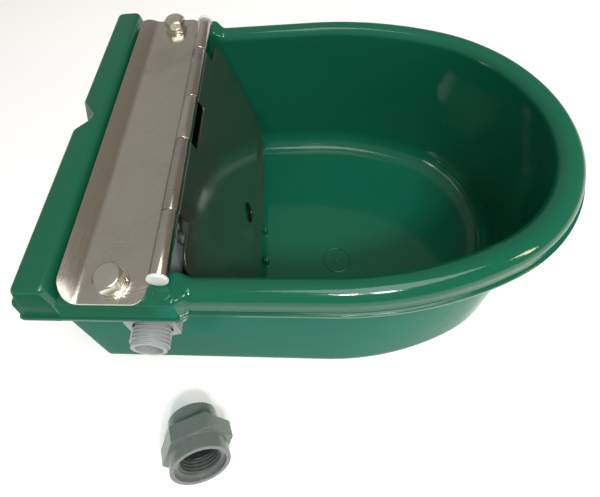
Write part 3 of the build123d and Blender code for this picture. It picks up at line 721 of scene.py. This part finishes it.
def knuckles(name, spans):
    """Rolled barrels between pairs of places along the hinge, with rounded ends and a bore."""
    place = axis_frame(HINGE, (0, 1, 0))
    barrels = []
    for low, high in spans:
        end = [(BORE, 0.3), (4.0, 0.0), (4.35, 0.0), (4.58, 0.12), (BARREL, 0.4)]
        profile = [(radius, low + depth) for radius, depth in end] + [(BARREL, (low + high) / 2)]
        profile += [(radius, high - depth) for radius, depth in reversed(end)]
        barrels.append(lathe(profile, place, 56, True))
    return mesh_from(name, barrels)


def cover_outline():
    """Flat outline in (x, y), from the middle of the back edge round the near side."""
    outer, inner = -OUTER_JOINT - JOINT_GAP, -INNER_JOINT + JOINT_GAP
    edge = [(-126.4, 0.0), (-126.4, -97.0)]
    edge += arc((-115.4, -97.0), 11.0, 180, 270, 10)
    edge += arc((-89.5, -101.5), 6.5, 270, 360, 8)
    edge += [(-83.0, -100.6)] + arc((-79.9, -100.6), 3.1, 180, 95, 6)
    edge += [(HINGE.x, -97.4), (HINGE.x, outer), (-83.0, outer), (-83.0, inner), (HINGE.x, inner)]
    return edge + [(x, -y) for x, y in reversed(edge)][:-1]


def cover_bend(x, y):
    """Point of the cover's middle surface, with its back strip bent up round a small radius."""
    half_bend, turn = 2.0, radians(35.2)
    radius = 2 * half_bend / turn
    z = LEDGE_Z + SHEET / 2
    beyond = -115.1 - x
    if beyond <= -half_bend:
        return x, y, z
    a = min(beyond + half_bend, 2 * half_bend) / radius
    rest = max(beyond - half_bend, 0.0)
    bent_x = -115.1 + half_bend - radius * sin(a) - rest * cos(turn)
    return bent_x, y, z + radius * (1 - cos(a)) + rest * sin(turn)


cover_cuts = [((x, 0, 0), (1, 0, 0)) for x in spread(-113.1, -117.1, 0.8)]
cover_cuts += [((0, y, 0), (0, 1, 0)) for y in spread(-96, 96, 16)]
cover_sheet = sheet_from_outline("cover_sheet", cover_outline(), cover_cuts, cover_bend)
cover_knuckles = knuckles("cover_knuckles", [
    (-HINGE_HALF, -OUTER_JOINT), (-INNER_JOINT, INNER_JOINT), (OUTER_JOINT, HINGE_HALF)])
cover_mesh = joined("cover_plate_visual", [cover_sheet, cover_knuckles])
finish_mesh("cover_plate_visual", cover_mesh, "bowl", COVER_STEEL, ("cover_plate",))


FLAP_END = 109.5
BEND_START = 96.5


def flap_outline():
    """Flat outline in (y, distance below the hinge axis), from the middle of the lower edge."""
    outer, inner = -OUTER_JOINT + JOINT_GAP, -INNER_JOINT - JOINT_GAP
    near = [(0.0, FLAP_END), (-55.0, FLAP_END)]
    near += arc((-55.0, FLAP_END - 33.0), 33.0, 90, 180, 14)
    near += arc((-78.0, 21.5), 10.0, 180, 270, 8)
    near += [(outer, 11.5), (outer, 1.5), (inner, 1.5), (inner, 8.2), (-INNER_JOINT + 1.0, 9.2)]
    near += [(0.0, 9.2)]
    return near + [(-y, below) for y, below in reversed(near)][1:-1]


def flap_bend(y, below):
    """Point of the flap's middle surface, with its lower strip bent forwards."""
    length, turn = 5.0, radians(14)
    radius = length / turn
    out, down = FLAP_MIDDLE, below
    if below > BEND_START:
        a = min(below - BEND_START, length) / radius
        rest = max(below - BEND_START - length, 0.0)
        out += radius * (1 - cos(a)) + rest * sin(turn)
        down = BEND_START + radius * sin(a) + rest * cos(turn)
    point = HINGE + FLAP_DOWN * down + FLAP_OUT * out
    return point.x, y, point.z


flap_cuts = [((0, below, 0), (0, 1, 0)) for below in [40, 70] + spread(BEND_START, 101.5, 1)]
flap_cuts += [((y, 0, 0), (1, 0, 0)) for y in spread(-80, 80, 16)]
flap_sheet = sheet_from_outline("flap_sheet", flap_outline(), flap_cuts, flap_bend)
flap_knuckles = knuckles("flap_knuckles", [
    (-OUTER_JOINT + JOINT_GAP, -INNER_JOINT - JOINT_GAP),
    (INNER_JOINT + JOINT_GAP, OUTER_JOINT - JOINT_GAP)])
flap_mesh = joined("flap_visual", [flap_sheet, flap_knuckles])
flap = finish_mesh("flap_visual", flap_mesh, "flap", FLAP_STEEL, ("flap",))
hole_place = HINGE + FLAP_DOWN * 88 + FLAP_OUT * FLAP_MIDDLE + Vector((0, -12, 0))
water_hole = lathe([(7.2, -9), (7.2, 9)], axis_frame(hole_place, FLAP_OUT), 48)
cut(flap, in_scene("cutter", mesh_from("cutter", [water_hole])))

# ---------------------------------------------------------------- fasteners
softened_copy("hinge_pin", 0.5, PIN_WHITE, "bowl", 3)


def bolt_shape(y):
    """Hexagon head with a turned chamfer, and its shank down into the captive nut."""
    base = LEDGE_Z + SHEET + FLAT_WASHER + SPRING_WASHER
    top = base + HEAD_HEIGHT
    turns = [360 / BOLT_SEGMENTS * i for i in range(BOLT_SEGMENTS)]
    chamfer, chamfer_z, slope = 6.15, top - 0.35, 0.85
    corners = [FLATS / 2 / cos(radians(turn % 60 - 30)) for turn in turns]
    levels = [[(radius, z)] * BOLT_SEGMENTS
              for radius, z in ((0.02, top), (5.5, top), (5.85, top - 0.1), (chamfer, chamfer_z))]
    levels.append([(r, chamfer_z - (r - chamfer) * slope) for r in corners])
    levels.append([(r, base + 0.3) for r in corners])
    levels.append([(r - 0.3, base) for r in corners])
    levels += [[(SHANK, z)] * BOLT_SEGMENTS for z in (base, SHANK_END_Z)]
    rings = []
    for level in levels:
        rings.append([(BOLT_X + r * cos(radians(turn + 15)), y + r * sin(radians(turn + 15)), z)
                      for turn, (r, z) in zip(turns, level)])
    return loft(rings, cap_start=True, cap_end=True)


for side, sign in (("near", -1), ("far", 1)):
    bolt = mesh_from(f"cover_bolt_{side}_visual", [bolt_shape(sign * BOLT_Y)])
    finish_mesh(bolt.name, bolt, "bowl", ZINC, (f"cover_bolt_{side}",), 24)
    softened_copy(f"spring_washer_{side}", 0.2, ZINC, "bowl")
    softened_copy(f"flat_washer_{side}", 0.25, ZINC, "bowl")
softened_copy("lock_nut", 0.5, VALVE_GREY, "bowl", 3)


# ---------------------------------------------------------------- pipe threads
def thread(place, valley, crest, buried, start, end):
    """Closed ring with a helical ridge between two radii; buried is its hidden side."""
    segments, run_out = 80, 1.2
    rows = spread(start, end, PITCH / 12)
    rings = []
    for i in range(segments):
        a = 2 * pi * i / segments
        ring = []
        for z in rows:
            phase = (z / PITCH - i / segments) % 1.0
            ridge = min(max(1.3 - abs(phase - 0.5) * 4.6, 0.0), 1.0)
            fade = min(ease((z - start) / run_out), ease((end - z) / run_out))
            radius = valley + (crest - valley) * ridge * fade
            ring.append(place @ Vector((radius * cos(a), radius * sin(a), z)))
        for z in (end, start):
            ring.append(place @ Vector((buried * cos(a), buried * sin(a), z)))
        rings.append(ring)
    return loft(rings, loop=True)


def mouth_rib(place, turn):
    """Thin wall across the bore of the spigot."""
    c, n = cos(radians(turn)), sin(radians(turn))
    corners = [(-7.6, -0.6), (7.6, -0.6), (7.6, 0.6), (-7.6, 0.6)]
    rings = [[place @ Vector((a * c - b * n, a * n + b * c, depth)) for a, b in corners]
             for depth in (103.0, 112.5)]
    return loft(rings, cap_start=True, cap_end=True)


# the spigot is turned down to just above the thread's valleys, and the ridges stand on it
valve = softened_copy("valve_body", 0.3, VALVE_GREY, "bowl")
for vert in valve.data.vertices:
    offset = Vector((vert.co.x - VALVE_X * MM, 0, vert.co.z - VALVE_Z * MM))
    if vert.co.y < -THREAD_START * MM and offset.length > 9.5 * MM:
        keep = 9.35 * MM / offset.length
        vert.co.x = VALVE_X * MM + offset.x * keep
        vert.co.z = VALVE_Z * MM + offset.z * keep
spigot = axis_frame((VALVE_X, 0, VALVE_Z), (0, -1, 0))
spigot_thread = mesh_from("inlet_thread", [
    thread(spigot, 8.9, THREAD_CREST, 8.6, 105.6, 115.3),
    mouth_rib(spigot, 20), mouth_rib(spigot, 110)])
finish_mesh("inlet_thread", spigot_thread, "bowl", VALVE_THREAD, (), 50)

softened_copy("hose_adapter", 0.5, ADAPTER_GREY, "adapter", 3)
mouth = axis_frame(ADAPTER, -ADAPTER_AXIS)
adapter_thread = mesh_from("adapter_thread", [
    thread(mouth, 12.05, 11.0, 12.4, 2.6, 10.9), thread(mouth, 9.3, 8.4, 9.7, 13.1, 25.5)])
# the thread inside the mouth takes the darker copy, as painted shade
finish_mesh("adapter_thread", adapter_thread, "adapter", ADAPTER_INSIDE_SHADED, (), 50)

# ---------------------------------------------------------------- floor, light and camera
bpy.ops.mesh.primitive_plane_add(size=12, location=(0, 0, -0.0002))
floor = bpy.context.object
floor.name = "floor"
ground = Nodes("floor_white")
ground.set(Base_Color=(0.92, 0.92, 0.92, 1), Roughness=0.8, Specular_IOR_Level=0.1)
ground.set(Emission_Color=(1, 1, 1, 1), Emission_Strength=0.22)
floor.data.materials.append(ground.material)

# surroundings: nearly white towards the wall side, a warm grey towards the nose side
world = bpy.data.worlds.new("studio")
bpy.context.scene.world = world
world.use_nodes = True
nodes, links = world.node_tree.nodes, world.node_tree.links
surround = nodes["Background"]
surround.inputs["Strength"].default_value = 0.38
directions = nodes.new("ShaderNodeTexCoord")
split = nodes.new("ShaderNodeSeparateXYZ")
links.new(directions.outputs["Generated"], split.inputs[0])
tone = nodes.new("ShaderNodeMapRange")
tone.interpolation_type = "SMOOTHSTEP"
tone.inputs["From Min"].default_value = -0.25
tone.inputs["From Max"].default_value = 0.5
links.new(split.outputs["X"], tone.inputs["Value"])
blend = nodes.new("ShaderNodeMix")
blend.data_type = "RGBA"
blend.inputs[6].default_value = (1.0, 0.98, 0.93, 1)
blend.inputs[7].default_value = (0.62, 0.54, 0.45, 1)
links.new(tone.outputs[0], blend.inputs[0])
links.new(blend.outputs[2], surround.inputs["Color"])


def area_light(name, place, target, size, power, colour=(1, 1, 1)):
    data = bpy.data.lights.new(name, "AREA")
    data.shape = "RECTANGLE"
    data.size, data.size_y = size
    data.energy = power
    data.color = colour
    light = in_scene(name, data)
    light.location = place
    light.rotation_euler = (Vector(target) - Vector(place)).to_track_quat("-Z", "Y").to_euler()


WINDOW = (0.08, 0.14)
area_light("sky", (0.3, -0.25, 1.3), (0, 0, 0.05), (0.7, 0.7), 6.8)
area_light("window_left", (0.13, -0.62, 1.0), (0.03, 0, 0.1), WINDOW, 3.6, (1.0, 0.99, 0.97))
area_light("window_right", (0.31, -0.6, 1.0), (0.03, 0, 0.1), WINDOW, 3.6, (1.0, 0.99, 0.97))
area_light("lamp", (0.75, -0.35, 0.5), (0.05, 0, 0.08), (0.08, 0.25), 1.5, (1.0, 0.78, 0.5))
bpy.context.scene.view_settings.view_transform = "Standard"

# camera fitted to the bowl's outline in the photograph
CAMERA_PLACE = (-0.01343, -0.17848, 0.31704)
AZIMUTH, ELEVATION, ROLL = radians(10.36), radians(49.481), radians(-9.663)
back = Vector((sin(AZIMUTH) * cos(ELEVATION), -cos(AZIMUTH) * cos(ELEVATION), sin(ELEVATION)))
right = (-back).cross(Vector((0, 0, 1))).normalized()
up = right.cross(-back)
across = right * cos(ROLL) + up * sin(ROLL)
upwards = up * cos(ROLL) - right * sin(ROLL)
camera_data = bpy.data.cameras.new("camera")
camera_data.sensor_width = 36
camera_data.lens = 26.83
camera_data.shift_x = 0.0920
camera_data.shift_y = -0.1689
camera_data.clip_start = 0.01
camera = in_scene("camera", camera_data)
turn = Matrix((across, upwards, back)).transposed().to_4x4()
camera.matrix_world = Matrix.Translation(CAMERA_PLACE) @ turn
bpy.context.scene.camera = camera
